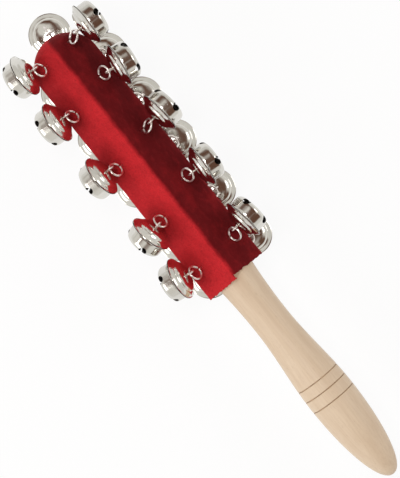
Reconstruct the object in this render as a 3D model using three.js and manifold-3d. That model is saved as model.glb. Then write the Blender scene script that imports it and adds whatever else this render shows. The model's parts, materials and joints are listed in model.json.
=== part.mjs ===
// Bell stick: a wooden stick with a turned handle and a square, domed head in a velvet sleeve. Jingle
// bells hang on screw eyes in rows along the head's four faces, and one hangs at the head's end.
// Millimetres, +Z up. The stick lies along X on its lower bells, one edge of the head upwards and the
// handle towards +X. The finished group stands on z = 0, centred in X and Y.
import * as THREE from 'three';
import { mergeVertices } from 'three/addons/utils/BufferGeometryUtils.js';
import Module from 'manifold-3d';

const wasm = await Module();
wasm.setup();

// Head of the stick, over the velvet
const HEAD_SIDE = 24;
const HEAD_LENGTH = 136.5;
const HEAD_CORNER = 2;
const VELVET_WALL = 0.8;
const GLUE_GAP = 0.3;

// Turned handle
const HANDLE_LENGTH = 116;
const NECK_RADIUS = 10.1;
const WAIST_RADIUS = 8.7;
const WAIST_AT = 27;
const BULB_RADIUS = 11.3;
const BULB_AT = 71;
const GROOVE_PLACES = [0.5216, 0.569, 0.6198].map((share) => share * HANDLE_LENGTH);
const GROOVE_WIDTH = 1.1;
const GROOVE_DEPTH = 0.5;

// Screw eye: a ring of wire on a shank
const EYE_RING_RADIUS = 3.6;
const EYE_WIRE_RADIUS = 0.55;
const SHANK_LENGTH = 9.5;
const SHANK_TIP_RADIUS = 0.35;
const EYE_HOLE_GAP = 0.3;
const EYE_RISE = 4.4;
const LONG_EYE_RISE = 9.9;

// Bell, measured from the middle of its loop down its own axis
const LOOP_RADIUS = 1.75;
const LOOP_WIRE_RADIUS = 0.42;
const LOOP_SINK = 0.67;
const SHEET = 0.5;
const CAP_RADIUS = 8.8;
const CAP_HEIGHT = 3.65;
const RIM_RADIUS = 10;
const RIM_THICKNESS = 0.8;
const CUP_RADIUS = 8.75;
const CUP_DEPTH = 6.7;
const CUP_CORNER = 2.3;
const SOUND_HOLE_RADIUS = 1.75;
const SLIT_WIDTH = 0.9;
const SOUND_HOLES = 4;

// Loose pellet in each bell
const PELLET_RADIUS = 2.8;
const PELLET_GAP = 0.3;

// Facets round each kind of turned piece
const HANDLE_FACETS = 16;
const BELL_FACETS = 12;
const DOME_FACETS = 20;
const WIRE_FACETS = 5;

// Where the eyes are screwed in. at is a share of the head's length from the shoulder, and side a share
// of its half side, off the face's middle line and down the face. rise is the ring's middle over the
// velvet. link is how far round its ring a bell's loop lies from the top of the ring, and twist turns
// the ring about its shank. swing and yaw turn the bell from the face's normal, and turn sets the bell's
// sound holes round its own axis. Angles are in degrees.
const ROWS = [
  {
    name: 'upper_left', angle: 135, hand: 1, rise: EYE_RISE, swing: 65, lies: true,
    eyes: [
      { at: 0.9201, side: -0.108, link: -40, yaw: 6, twist: 0, turn: 20 },
      { at: 0.7370, side: 0.108, link: -40, yaw: 4, twist: 0, turn: 70 },
      { at: 0.5106, side: 0.05, link: -40, yaw: -1, twist: 0, turn: 60 },
      { at: 0.3011, side: -0.092, link: 38, yaw: -12, twist: 0, turn: 15 },
      { at: 0.0842, side: 0.15, link: -29, yaw: 9, twist: 0, turn: 35 },
    ],
  },
  {
    name: 'upper_right', angle: 45, hand: -1, rise: EYE_RISE, swing: 52, lies: true,
    eyes: [
      { at: 0.9392, side: -0.217, link: -18, yaw: 0, twist: -35, turn: 80 },
      { at: 0.7868, side: -0.142, link: 16, yaw: -8, twist: 0, turn: 30 },
      { at: 0.5597, side: -0.092, link: -15, yaw: 8, twist: -28, turn: 65 },
      { at: 0.3538, side: -0.058, link: 9, yaw: -4, twist: 0, turn: 65 },
      { at: 0.1033, side: -0.058, link: -40, yaw: 10, twist: 0, turn: 25 },
    ],
  },
  {
    name: 'lower_right', angle: 315, hand: -1, rise: LONG_EYE_RISE, swing: 45, lies: false,
    eyes: [
      { at: 0.8601, side: 0.0417, link: 0, yaw: 0, twist: 0, turn: 45 },
      { at: 0.6667, side: 0.0417, link: 0, yaw: 0, twist: 0, turn: 45 },
      { at: 0.4806, side: 0.0417, link: 0, yaw: 0, twist: 0, turn: 45 },
      { at: 0.2645, side: 0.0417, link: 0, yaw: 0, twist: 0, turn: 45 },
      { at: 0.0659, side: 0.0417, link: 0, yaw: 0, twist: 0, turn: 45 },
    ],
  },
  {
    name: 'lower_left', angle: 225, hand: 1, rise: EYE_RISE, swing: 45, lies: false,
    eyes: [
      { at: 0.8498, side: 0.5, link: 0, yaw: 0, twist: 0, turn: 45 },
      { at: 0.6469, side: 0.5, link: 0, yaw: 0, twist: 0, turn: 45 },
      { at: 0.4396, side: 0.5, link: 0, yaw: 0, twist: 0, turn: 45 },
      { at: 0.2066, side: 0.5, link: 0, yaw: 0, twist: 0, turn: 45 },
      { at: 0.0403, side: 0.5, link: 0, yaw: 0, twist: 0, turn: 45 },
    ],
  },
];
const END_EYE = { across: 0.208, up: -0.5, rise: EYE_RISE, turn: 45 };

// The row whose eyes share the stick's solid
const JOINED_ROW = 'lower_left';

// Sizes that follow from the ones above
const HEAD_HALF = HEAD_SIDE / 2;
const CORNER_REACH = (HEAD_HALF - HEAD_CORNER) * Math.SQRT2 + HEAD_CORNER;
const CORE_INSET = VELVET_WALL + GLUE_GAP;
const CAP_TOP = LOOP_RADIUS + LOOP_WIRE_RADIUS - LOOP_SINK;
const RIM_TOP = CAP_TOP + CAP_HEIGHT;
const RIM_FOOT = RIM_TOP + RIM_THICKNESS;
const CUP_FOOT = RIM_FOOT + CUP_DEPTH;
const PAST = 2;
const RIGHT_ANGLE = Math.PI / 2;
const radians = THREE.MathUtils.degToRad;

// Solids for joining and cutting

function solidOf(geometry) {
  const bare = geometry.clone();
  bare.deleteAttribute('normal');
  bare.deleteAttribute('uv');
  const merged = mergeVertices(bare, 1e-4);
  const solid = new wasm.Manifold(new wasm.Mesh({
    numProp: 3,
    vertProperties: new Float32Array(merged.attributes.position.array),
    triVerts: new Uint32Array(merged.index.array),
  }));
  return solid;
}

function geometryOf(solid) {
  const mesh = solid.getMesh();
  const geometry = new THREE.BufferGeometry();
  geometry.setAttribute('position', new THREE.BufferAttribute(mesh.vertProperties, 3));
  geometry.setIndex(new THREE.BufferAttribute(mesh.triVerts, 1));
  geometry.computeVertexNormals();
  return geometry;
}

function finish(color, roughness, metalness) {
  return new THREE.MeshStandardMaterial({ color, roughness, metalness });
}

function piece(name, solid, material) {
  const mesh = new THREE.Mesh(geometryOf(solid), material);
  mesh.name = name;
  return mesh;
}

// Head: a round-cornered square bar whose far end is turned to a dome

function roundedSquare(side, corner) {
  const flat = side / 2 - corner;
  const shape = new THREE.Shape();
  shape.absarc(flat, flat, corner, 0, RIGHT_ANGLE);
  shape.absarc(-flat, flat, corner, RIGHT_ANGLE, 2 * RIGHT_ANGLE);
  shape.absarc(-flat, -flat, corner, 2 * RIGHT_ANGLE, 3 * RIGHT_ANGLE);
  shape.absarc(flat, -flat, corner, 3 * RIGHT_ANGLE, 4 * RIGHT_ANGLE);
  return shape;
}

function headSolid(inset, overshoot) {
  const corner = Math.max(HEAD_CORNER - inset, HEAD_CORNER / 4);
  const length = HEAD_LENGTH - inset;
  const radius = CORNER_REACH - inset;
  const bar = new THREE.ExtrudeGeometry(roundedSquare(HEAD_SIDE - 2 * inset, corner), {
    depth: length + overshoot, bevelEnabled: false, curveSegments: 3,
  });
  bar.rotateY(-RIGHT_ANGLE).translate(overshoot, 0, 0).rotateX(RIGHT_ANGLE / 2);
  const profile = [new THREE.Vector2(0, -overshoot - PAST), new THREE.Vector2(radius + PAST, -overshoot - PAST)];
  profile.push(new THREE.Vector2(radius + PAST, length - radius));
  const steps = 6;
  for (let i = 0; i < steps; i += 1) {
    const a = (i / steps) * RIGHT_ANGLE;
    profile.push(new THREE.Vector2(radius * Math.cos(a), length - radius + radius * Math.sin(a)));
  }
  profile.push(new THREE.Vector2(0, length));
  const bullet = new THREE.LatheGeometry(profile, DOME_FACETS);
  bullet.rotateZ(RIGHT_ANGLE);
  return solidOf(bar).intersect(solidOf(bullet));
}

// Handle: necked in below the shoulder, swelling to a bulb with a round end

function handleRadius(x) {
  if (x < WAIST_AT) {
    return WAIST_RADIUS + (NECK_RADIUS - WAIST_RADIUS) * (1 - x / WAIST_AT) ** 2;
  }
  if (x < BULB_AT) {
    const t = (x - WAIST_AT) / (BULB_AT - WAIST_AT);
    return WAIST_RADIUS + (BULB_RADIUS - WAIST_RADIUS) * (1 - Math.cos(t * Math.PI)) / 2;
  }
  const t = Math.min((x - BULB_AT) / (HANDLE_LENGTH - BULB_AT), 1);
  return BULB_RADIUS * (1 - t * t) ** (1 / 2.2);
}

function handleSolid() {
  const stations = [];
  const shaftSteps = 12;
  for (let i = 0; i <= shaftSteps; i += 1) {
    stations.push((i / shaftSteps) * BULB_AT);
  }
  const endSteps = 8;
  for (let i = 1; i < endSteps; i += 1) {
    stations.push(BULB_AT + (HANDLE_LENGTH - BULB_AT) * Math.sin((i / endSteps) * RIGHT_ANGLE));
  }
  const points = [];
  for (const x of stations) {
    if (GROOVE_PLACES.every((place) => Math.abs(x - place) > GROOVE_WIDTH)) {
      points.push(new THREE.Vector2(handleRadius(x), x));
    }
  }
  for (const place of GROOVE_PLACES) {
    const half = GROOVE_WIDTH / 2;
    points.push(new THREE.Vector2(handleRadius(place - half), place - half));
    points.push(new THREE.Vector2(handleRadius(place) - GROOVE_DEPTH, place));
    points.push(new THREE.Vector2(handleRadius(place + half), place + half));
  }
  points.sort((p, q) => p.y - q.y);
  const root = new THREE.Vector2(NECK_RADIUS, -PAST);
  const profile = [new THREE.Vector2(0, -PAST), root, ...points, new THREE.Vector2(0, HANDLE_LENGTH)];
  const handle = new THREE.LatheGeometry(profile, HANDLE_FACETS);
  handle.rotateZ(-RIGHT_ANGLE);
  return solidOf(handle);
}

// Screw eye, with its ring's middle at the origin and its shank down -Y

function eyeSolid() {
  const ring = new THREE.TorusGeometry(EYE_RING_RADIUS, EYE_WIRE_RADIUS, WIRE_FACETS, 12);
  const shank = new THREE.CylinderGeometry(EYE_WIRE_RADIUS, SHANK_TIP_RADIUS, SHANK_LENGTH, WIRE_FACETS);
  shank.translate(0, -EYE_RING_RADIUS - SHANK_LENGTH / 2, 0);
  return solidOf(ring).add(solidOf(shank));
}

function eyeHoleSolid() {
  const depth = SHANK_LENGTH + EYE_HOLE_GAP;
  const hole = new THREE.CylinderGeometry(
    EYE_WIRE_RADIUS + EYE_HOLE_GAP, SHANK_TIP_RADIUS + EYE_HOLE_GAP, depth, WIRE_FACETS + 1);
  hole.translate(0, -EYE_RING_RADIUS - depth / 2, 0);
  return solidOf(hole);
}

// Bell, with its loop's middle at the origin, its axis up +Y and its loop square to X

function shellSolid() {
  const dome = (share) => CAP_TOP + CAP_HEIGHT * (1 - Math.sqrt(1 - share * share));
  const cornerR = CUP_RADIUS - CUP_CORNER;
  const outside = [
    [0, CAP_TOP], [CAP_RADIUS * 0.5, dome(0.5)], [CAP_RADIUS * 0.87, dome(0.87)], [CAP_RADIUS, RIM_TOP],
    [RIM_RADIUS, RIM_TOP], [RIM_RADIUS, RIM_FOOT], [CUP_RADIUS, RIM_FOOT],
    [CUP_RADIUS, CUP_FOOT - CUP_CORNER], [cornerR, CUP_FOOT], [0, CUP_FOOT],
  ];
  const inside = [
    [0, CAP_TOP + SHEET], [CAP_RADIUS * 0.5, dome(0.5) + SHEET], [CUP_RADIUS - SHEET, RIM_FOOT - SHEET / 2],
    [CUP_RADIUS - SHEET, CUP_FOOT - CUP_CORNER], [cornerR - SHEET / 2, CUP_FOOT - SHEET],
    [0, CUP_FOOT - SHEET],
  ];
  const turned = (pairs) => {
    const profile = pairs.map(([r, y]) => new THREE.Vector2(r, y));
    return solidOf(new THREE.LatheGeometry(profile, BELL_FACETS));
  };
  return turned(outside).subtract(turned(inside)).rotate([0, 180 / BELL_FACETS, 0]);
}

function soundHoles() {
  const slit = new THREE.BoxGeometry(2 * CUP_RADIUS - 2 * CUP_CORNER, 3 * SHEET, SLIT_WIDTH);
  slit.translate(0, CUP_FOOT, 0);
  const cross = slit.clone().rotateY(RIGHT_ANGLE);
  let cuts = solidOf(slit).add(solidOf(cross));
  for (let i = 0; i < SOUND_HOLES; i += 1) {
    const hole = new THREE.CylinderGeometry(SOUND_HOLE_RADIUS, SOUND_HOLE_RADIUS, 2 * CUP_CORNER, 6);
    hole.rotateZ(-RIGHT_ANGLE / 2);
    hole.translate(CUP_RADIUS - CUP_CORNER / 2, CUP_FOOT - CUP_CORNER / 2, 0);
    hole.rotateY(i * (4 / SOUND_HOLES) * RIGHT_ANGLE);
    cuts = cuts.add(solidOf(hole));
  }
  return cuts;
}

function bellSolid(turn) {
  const loop = new THREE.TorusGeometry(LOOP_RADIUS, LOOP_WIRE_RADIUS, WIRE_FACETS - 1, 8);
  loop.rotateY(RIGHT_ANGLE);
  return PLAIN_SHELL.rotate([0, turn, 0]).add(solidOf(loop));
}

const PLAIN_SHELL = shellSolid().subtract(soundHoles());
const EYE = eyeSolid();
const EYE_HOLE = eyeHoleSolid();

// Places of the eyes and of the bells that hang on them

function facePlace(row, eye) {
  const face = new THREE.Matrix4().makeRotationX(radians(row.angle));
  const ring = new THREE.Matrix4().makeTranslation(
    -eye.at * HEAD_LENGTH, HEAD_HALF + row.rise, row.hand * eye.side * HEAD_HALF);
  const twist = new THREE.Matrix4().makeRotationY(-row.hand * radians(eye.twist));
  const eyeMatrix = face.multiply(ring).multiply(twist);
  const link = radians(eye.link);
  const hinge = new THREE.Vector3(Math.sin(link), Math.cos(link), 0).multiplyScalar(EYE_RING_RADIUS);
  hinge.applyMatrix4(eyeMatrix);
  const turned = new THREE.Euler(
    row.hand * radians(row.swing), -row.hand * radians(eye.yaw), 0, 'YXZ');
  const bellMatrix = new THREE.Matrix4().makeRotationX(radians(row.angle));
  bellMatrix.multiply(new THREE.Matrix4().makeRotationFromEuler(turned)).setPosition(hinge);
  return { eyeMatrix, bellMatrix };
}

function endPlace(end) {
  const y = end.across * HEAD_HALF;
  const z = end.up * HEAD_HALF;
  const reach = Math.sqrt(CORNER_REACH ** 2 - y ** 2 - z ** 2);
  const tip = -(HEAD_LENGTH - CORNER_REACH) - reach;
  const ring = new THREE.Vector3(tip - end.rise, y, z);
  const eyeMatrix = new THREE.Matrix4().makeBasis(
    new THREE.Vector3(0, 0, -1), new THREE.Vector3(-1, 0, 0), new THREE.Vector3(0, 1, 0));
  eyeMatrix.setPosition(ring);
  const bellMatrix = new THREE.Matrix4().makeRotationX(-RIGHT_ANGLE);
  bellMatrix.setPosition(ring.x, ring.y, ring.z - EYE_RING_RADIUS);
  return { eyeMatrix, bellMatrix };
}

const hangings = [];
for (const row of ROWS) {
  row.eyes.forEach((eye, i) => {
    const place = facePlace(row, eye);
    const joined = row.name === JOINED_ROW;
    hangings.push({ label: `${row.name}_${i + 1}`, turn: eye.turn, lies: row.lies, hand: row.hand, joined, ...place });
  });
}
hangings.push({ label: 'end', turn: END_EYE.turn, lies: false, hand: 1, joined: false, ...endPlace(END_EYE) });

// Pellet at the lowest place in its bell: on the wall of a bell that lies, on the foot of one that stands

function pelletPlace(hanging) {
  const clear = PELLET_RADIUS + PELLET_GAP;
  if (hanging.lies) {
    const facetReach = (CUP_RADIUS - SHEET) * Math.cos(Math.PI / BELL_FACETS);
    return new THREE.Vector3(0, RIM_FOOT + PELLET_RADIUS / 2, hanging.hand * (facetReach - clear));
  }
  return new THREE.Vector3(0, CUP_FOOT - SHEET - clear, 0);
}

// Assembly

const stickGroup = new THREE.Group();
let core = headSolid(CORE_INSET, 0).add(handleSolid());
let sleeve = headSolid(0, 0).subtract(headSolid(VELVET_WALL, PAST));
for (const hanging of hangings) {
  const hole = EYE_HOLE.transform(hanging.eyeMatrix.elements);
  sleeve = sleeve.subtract(hole);
  core = hanging.joined ? core.add(EYE.transform(hanging.eyeMatrix.elements)) : core.subtract(hole);
}
stickGroup.add(piece('wooden_stick', core, finish(0xd9c3a0, 0.5, 0)));
stickGroup.add(piece('velvet_sleeve', sleeve, finish(0xa81e24, 0.95, 0)));

for (const hanging of hangings) {
  if (!hanging.joined) {
    const eye = piece(`screw_eye_${hanging.label}`, EYE, finish(0xd8d8d4, 0.2, 1));
    eye.applyMatrix4(hanging.eyeMatrix);
    stickGroup.add(eye);
  }
  const bellGroup = new THREE.Group();
  bellGroup.applyMatrix4(hanging.bellMatrix);
  bellGroup.add(piece(`bell_${hanging.label}`, bellSolid(hanging.turn), finish(0xdedbd2, 0.12, 1)));
  const ball = solidOf(new THREE.SphereGeometry(PELLET_RADIUS, 7, 4));
  const pellet = piece(`pellet_${hanging.label}`, ball, finish(0x8f8f8c, 0.4, 1));
  pellet.position.copy(pelletPlace(hanging));
  bellGroup.add(pellet);
  stickGroup.add(bellGroup);
}

// Stood on its lower bells, centred over the origin
const bounds = new THREE.Box3().setFromObject(stickGroup, true);
const middle = bounds.getCenter(new THREE.Vector3());
stickGroup.position.set(-middle.x, -middle.y, -bounds.min.z);
const bellStick = new THREE.Group();
bellStick.name = 'bell_stick';
bellStick.add(stickGroup);

export default bellStick;
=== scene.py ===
"""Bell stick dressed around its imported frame: turned handle, velvet head and nickel bells on screw eyes."""
import json
import logging
import math
from collections.abc import Callable, Sequence
from dataclasses import dataclass, field
from enum import Enum

import bpy
from mathutils import Matrix, Vector


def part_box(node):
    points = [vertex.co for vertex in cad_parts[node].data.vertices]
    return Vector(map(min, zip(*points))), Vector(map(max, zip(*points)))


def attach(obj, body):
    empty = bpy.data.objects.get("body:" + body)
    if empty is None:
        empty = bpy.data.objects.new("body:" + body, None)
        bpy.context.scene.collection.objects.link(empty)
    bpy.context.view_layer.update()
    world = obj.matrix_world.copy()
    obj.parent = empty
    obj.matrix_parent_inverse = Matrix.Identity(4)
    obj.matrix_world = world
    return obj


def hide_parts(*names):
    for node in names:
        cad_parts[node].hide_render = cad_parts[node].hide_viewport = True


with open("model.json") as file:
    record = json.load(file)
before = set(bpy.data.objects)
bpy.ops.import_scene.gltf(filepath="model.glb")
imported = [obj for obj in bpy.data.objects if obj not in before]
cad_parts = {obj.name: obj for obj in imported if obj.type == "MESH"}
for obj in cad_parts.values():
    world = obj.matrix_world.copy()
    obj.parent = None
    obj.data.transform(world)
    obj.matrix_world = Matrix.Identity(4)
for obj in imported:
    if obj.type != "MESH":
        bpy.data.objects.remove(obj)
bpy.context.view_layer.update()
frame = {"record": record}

log = logging.getLogger("bell_stick")
MM = 0.001
QUARTER = math.pi / 2
FULL = 2 * math.pi
MERGE = MM * 0.002
SAME_SPOT = 1e-6
LATHE_FACETS = 72
WIRE_FACETS = 14
Point = tuple[float, float]
Triple = tuple[float, float, float]
Colour = Triple


class Face(Enum):
    """Faces of the head that carry a row of bells: label, turn of the normal from +Y to +Z, and hand."""

    UPPER_LEFT = ("upper_left", 135.0, 1.0)
    UPPER_RIGHT = ("upper_right", 45.0, -1.0)
    LOWER_RIGHT = ("lower_right", 315.0, -1.0)
    LOWER_LEFT = ("lower_left", 225.0, 1.0)

    @property
    def label(self) -> str:
        """Name of the row in the frame's node names."""
        return self.value[0]

    @property
    def angle(self) -> float:
        """Turn of the face's normal about the stick, in radians."""
        return math.radians(self.value[1])

    @property
    def hand(self) -> float:
        """Which way down the face points: 1 on the left faces and -1 on the right."""
        return self.value[2]


class Bench:
    """Operator work on one mesh at a time, as at a modelling bench."""

    @staticmethod
    def clear() -> None:
        """Leave edit mode and select nothing."""
        if bpy.context.object is not None and bpy.context.object.mode != "OBJECT":
            bpy.ops.object.mode_set(mode="OBJECT")
        bpy.ops.object.select_all(action="DESELECT")

    @staticmethod
    def take(piece: bpy.types.Object) -> None:
        """Make one piece the only selected and active one.

        Args:
            piece: The object to work on.
        """
        Bench.clear()
        piece.select_set(True)
        bpy.context.view_layer.objects.active = piece

    @staticmethod
    def edit(piece: bpy.types.Object, mode: str = "VERT") -> None:
        """Open a piece in edit mode with nothing selected.

        Args:
            piece: The object to work on.
            mode: Which kind of element is picked: VERT, EDGE or FACE.
        """
        Bench.take(piece)
        bpy.ops.object.mode_set(mode="EDIT")
        bpy.ops.mesh.select_mode(type=mode)
        bpy.ops.mesh.select_all(action="DESELECT")

    @staticmethod
    def pick(piece: bpy.types.Object, kind: str, test: Callable[[Vector], bool]) -> None:
        """Select the vertices, edges or faces whose middles pass a test, and stay in edit mode.

        Args:
            piece: The object in edit mode.
            kind: VERT, EDGE or FACE.
            test: Takes the middle of an element and says whether it is picked.
        """
        bpy.ops.mesh.select_mode(type=kind)
        bpy.ops.mesh.select_all(action="DESELECT")
        bpy.ops.object.mode_set(mode="OBJECT")
        mesh = piece.data
        if kind == "FACE":
            for face in mesh.polygons:
                face.select = test(face.center)
        elif kind == "EDGE":
            for edge in mesh.edges:
                first, second = (mesh.vertices[i].co for i in edge.vertices)
                edge.select = test((first + second) / 2)
        else:
            for vertex in mesh.vertices:
                vertex.select = test(vertex.co)
        bpy.ops.object.mode_set(mode="EDIT")

    @staticmethod
    def tidy(piece: bpy.types.Object) -> None:
        """Merge doubled points, point the faces outwards and leave edit mode.

        Args:
            piece: The object to clean up.
        """
        Bench.edit(piece)
        bpy.ops.mesh.select_all(action="SELECT")
        bpy.ops.mesh.remove_doubles(threshold=MERGE)
        bpy.ops.mesh.normals_make_consistent(inside=False)
        bpy.ops.object.mode_set(mode="OBJECT")

    @staticmethod
    def chain(name: str, profile: Sequence[Point]) -> bpy.types.Object:
        """Draw a profile in the XZ plane, a point at a time, by extruding from its first point.

        Args:
            name: Name of the new object.
            profile: (radius, height) points in millimetres.

        Returns:
            The object that holds the chain of edges.
        """
        Bench.clear()
        bpy.ops.mesh.primitive_plane_add(size=MM)
        piece = bpy.context.object
        piece.name = name
        bpy.ops.object.mode_set(mode="EDIT")
        bpy.ops.mesh.select_mode(type="VERT")
        bpy.ops.mesh.select_all(action="SELECT")
        bpy.ops.mesh.merge(type="CENTER")
        bpy.ops.transform.translate(value=(profile[0][0] * MM, 0, profile[0][1] * MM))
        for (r0, h0), (r1, h1) in zip(profile, profile[1:]):
            step = ((r1 - r0) * MM, 0, (h1 - h0) * MM)
            bpy.ops.mesh.extrude_region_move(TRANSFORM_OT_translate={"value": step})
        return piece

    @staticmethod
    def turned(name: str, profile: Sequence[Point], steps: int) -> bpy.types.Object:
        """Turn a profile about Z, as on a lathe.

        Args:
            name: Name of the new object.
            profile: (radius, height) points in millimetres, from axis to axis.
            steps: Facets round the axis.

        Returns:
            The turned object, closed and facing outwards.
        """
        piece = Bench.chain(name, profile)
        bpy.ops.mesh.select_all(action="SELECT")
        bpy.ops.mesh.spin(steps=steps, angle=FULL, center=(0, 0, 0), axis=(0, 0, 1))
        Bench.tidy(piece)
        return piece

    @staticmethod
    def wire_arc(name: str, radius: float, wire: float, start: float, sweep: float, steps: int
                 ) -> bpy.types.Object:
        """Bend round wire into an arc about Z, with closed ends.

        Args:
            name: Name of the new object.
            radius: Radius of the wire's middle line, in millimetres.
            wire: Radius of the wire, in millimetres.
            start: Angle of the first end from +X, in radians.
            sweep: Angle that the wire goes round, in radians.
            steps: Cuts along the arc.

        Returns:
            The bent wire.
        """
        Bench.clear()
        bpy.ops.mesh.primitive_circle_add(
            vertices=WIRE_FACETS, radius=wire * MM, fill_type="NOTHING", location=(radius * MM, 0, 0),
            rotation=(QUARTER, 0, 0))
        piece = bpy.context.object
        piece.name = name
        bpy.ops.object.transform_apply(location=True, rotation=True, scale=True)
        bpy.ops.object.mode_set(mode="EDIT")
        bpy.ops.mesh.select_all(action="SELECT")
        bpy.ops.mesh.spin(steps=steps, angle=-sweep, center=(0, 0, 0), axis=(0, 0, 1))
        bpy.ops.mesh.select_all(action="SELECT")
        bpy.ops.mesh.fill_holes(sides=0)
        Bench.tidy(piece)
        piece.data.transform(Matrix.Rotation(start, 4, "Z"))
        return piece

    @staticmethod
    def join(pieces: Sequence[bpy.types.Object]) -> bpy.types.Object:
        """Join pieces into the first one.

        Args:
            pieces: Objects to join.

        Returns:
            The first object, which now holds them all.
        """
        Bench.take(pieces[0])
        for piece in pieces[1:]:
            piece.select_set(True)
        bpy.ops.object.join()
        return pieces[0]

    @staticmethod
    def apply(piece: bpy.types.Object, modifier: bpy.types.Modifier) -> None:
        """Apply one modifier.

        Args:
            piece: The object that has the modifier.
            modifier: The modifier to apply.
        """
        Bench.take(piece)
        bpy.ops.object.modifier_apply(modifier=modifier.name)

    @staticmethod
    def cut(piece: bpy.types.Object, tool: bpy.types.Object, operation: str = "DIFFERENCE") -> None:
        """Cut a piece with a tool shape and remove the tool.

        Args:
            piece: The object to cut.
            tool: The cutting shape.
            operation: DIFFERENCE, INTERSECT or UNION.
        """
        boolean = piece.modifiers.new("cut", "BOOLEAN")
        boolean.operation = operation
        boolean.solver = "EXACT"
        boolean.object = tool
        Bench.apply(piece, boolean)
        bpy.data.objects.remove(tool, do_unlink=True)

    @staticmethod
    def copy(source: bpy.types.Object, name: str, place: Matrix) -> bpy.types.Object:
        """Copy a finished shape to its place, with a mesh of its own.

        Args:
            source: The shape to copy.
            name: Name of the copy.
            place: Where the copy goes, put into its mesh.

        Returns:
            The copy, at the origin, unturned and unscaled.
        """
        piece = source.copy()
        piece.data = source.data.copy()
        piece.name = name
        piece.data.name = name
        piece.data.transform(place)
        bpy.context.scene.collection.objects.link(piece)
        return piece

    @staticmethod
    def smooth(piece: bpy.types.Object, degrees: float) -> None:
        """Shade smooth across edges flatter than an angle.

        Args:
            piece: The object to shade.
            degrees: The sharpest angle that still looks round.
        """
        Bench.take(piece)
        bpy.ops.object.shade_smooth_by_angle(angle=math.radians(degrees))

    @staticmethod
    def coat(piece: bpy.types.Object, *materials: bpy.types.Material) -> None:
        """Give a piece these materials alone, in this order.

        Args:
            piece: The object to coat.
            materials: What its material slots hold.
        """
        piece.data.materials.clear()
        for material in materials:
            piece.data.materials.append(material)


class Nodes:
    """Short ways to add and link shader nodes in one tree."""

    def __init__(self, tree: bpy.types.NodeTree) -> None:
        """Work on one node tree."""
        self.tree = tree

    def add(self, kind: str, **settings: object) -> bpy.types.Node:
        """Add a node and set its properties.

        Args:
            kind: The node's type name.
            settings: Properties of the node by name.

        Returns:
            The new node.
        """
        node = self.tree.nodes.new(kind)
        for key, value in settings.items():
            setattr(node, key, value)
        return node

    def first(self, kind: str) -> bpy.types.Node:
        """Find the first node of a kind in the tree."""
        return next(n for n in self.tree.nodes if n.type == kind)

    def link(self, out: bpy.types.NodeSocket, into: bpy.types.NodeSocket) -> None:
        """Link one socket to another."""
        self.tree.links.new(out, into)

    def effect(self, group: bpy.types.NodeTree, place: bpy.types.NodeSocket) -> bpy.types.Node:
        """Add a shared effect.

        Args:
            group: The effect's node group.
            place: Coordinates that it reads.

        Returns:
            The group's node.
        """
        node = self.add("ShaderNodeGroup", node_tree=group)
        self.link(place, node.inputs["Vector"])
        return node

    def noise(self, vector: bpy.types.NodeSocket, scale: float, detail: float = 3.0, rough: float = 0.5
              ) -> bpy.types.NodeSocket:
        """Add a noise texture.

        Args:
            vector: Coordinates that it reads.
            scale: Noise cells in a metre.
            detail: Octaves of detail.
            rough: Strength of the finer octaves.

        Returns:
            The noise's value.
        """
        node = self.add("ShaderNodeTexNoise")
        node.inputs["Scale"].default_value = scale
        node.inputs["Detail"].default_value = detail
        node.inputs["Roughness"].default_value = rough
        self.link(vector, node.inputs["Vector"])
        return node.outputs["Fac"]

    def stretch(self, vector: bpy.types.NodeSocket, scale: Triple) -> bpy.types.NodeSocket:
        """Scale coordinates unevenly.

        Args:
            vector: Coordinates to scale.
            scale: Factor along each axis.

        Returns:
            The scaled coordinates.
        """
        node = self.add("ShaderNodeMapping")
        node.inputs["Scale"].default_value = scale
        self.link(vector, node.inputs["Vector"])
        return node.outputs["Vector"]

    def span(self, value: bpy.types.NodeSocket, low: float, high: float, to_low: float, to_high: float
             ) -> bpy.types.NodeSocket:
        """Map one range of values to another, clamped.

        Args:
            value: The value to map.
            low: Start of its range.
            high: End of its range.
            to_low: What the start becomes.
            to_high: What the end becomes.

        Returns:
            The mapped value.
        """
        node = self.add("ShaderNodeMapRange")
        for key, number in zip(("From Min", "From Max", "To Min", "To Max"), (low, high, to_low, to_high)):
            node.inputs[key].default_value = number
        self.link(value, node.inputs["Value"])
        return node.outputs["Result"]

    def blend(self, factor: bpy.types.NodeSocket, first: object, second: object, mode: str = "MIX"
              ) -> bpy.types.NodeSocket:
        """Mix two colours.

        Args:
            factor: How much of the second colour shows.
            first: A colour or a colour socket.
            second: A colour or a colour socket.
            mode: How the second goes over the first.

        Returns:
            The mixed colour.
        """
        node = self.add("ShaderNodeMix", data_type="RGBA", blend_type=mode)
        self.link(factor, node.inputs["Factor"])
        for socket, value in ((node.inputs[6], first), (node.inputs[7], second)):
            if isinstance(value, bpy.types.NodeSocket):
                self.link(value, socket)
            else:
                socket.default_value = (*value, 1.0)
        return node.outputs[2]

    def maths(self, operation: str, first: object, second: object) -> bpy.types.NodeSocket:
        """Do one sum on two values.

        Args:
            operation: ADD, MULTIPLY and so on.
            first: A number or a value socket.
            second: A number or a value socket.

        Returns:
            The result.
        """
        node = self.add("ShaderNodeMath", operation=operation)
        for socket, value in zip(node.inputs, (first, second)):
            if isinstance(value, bpy.types.NodeSocket):
                self.link(value, socket)
            else:
                socket.default_value = value
        return node.outputs[0]

    def relief(self, height: bpy.types.NodeSocket, depth: float, strength: float, shader: bpy.types.Node
               ) -> None:
        """Raise a relief on a surface.

        Args:
            height: The relief's height, from 0 to 1.
            depth: What a height of 1 stands for, in metres.
            strength: How strongly it shows.
            shader: The shader whose normal it bends.
        """
        bump = self.add("ShaderNodeBump")
        bump.inputs["Strength"].default_value = strength
        bump.inputs["Distance"].default_value = depth
        self.link(height, bump.inputs["Height"])
        self.link(bump.outputs["Normal"], shader.inputs["Normal"])


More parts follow.
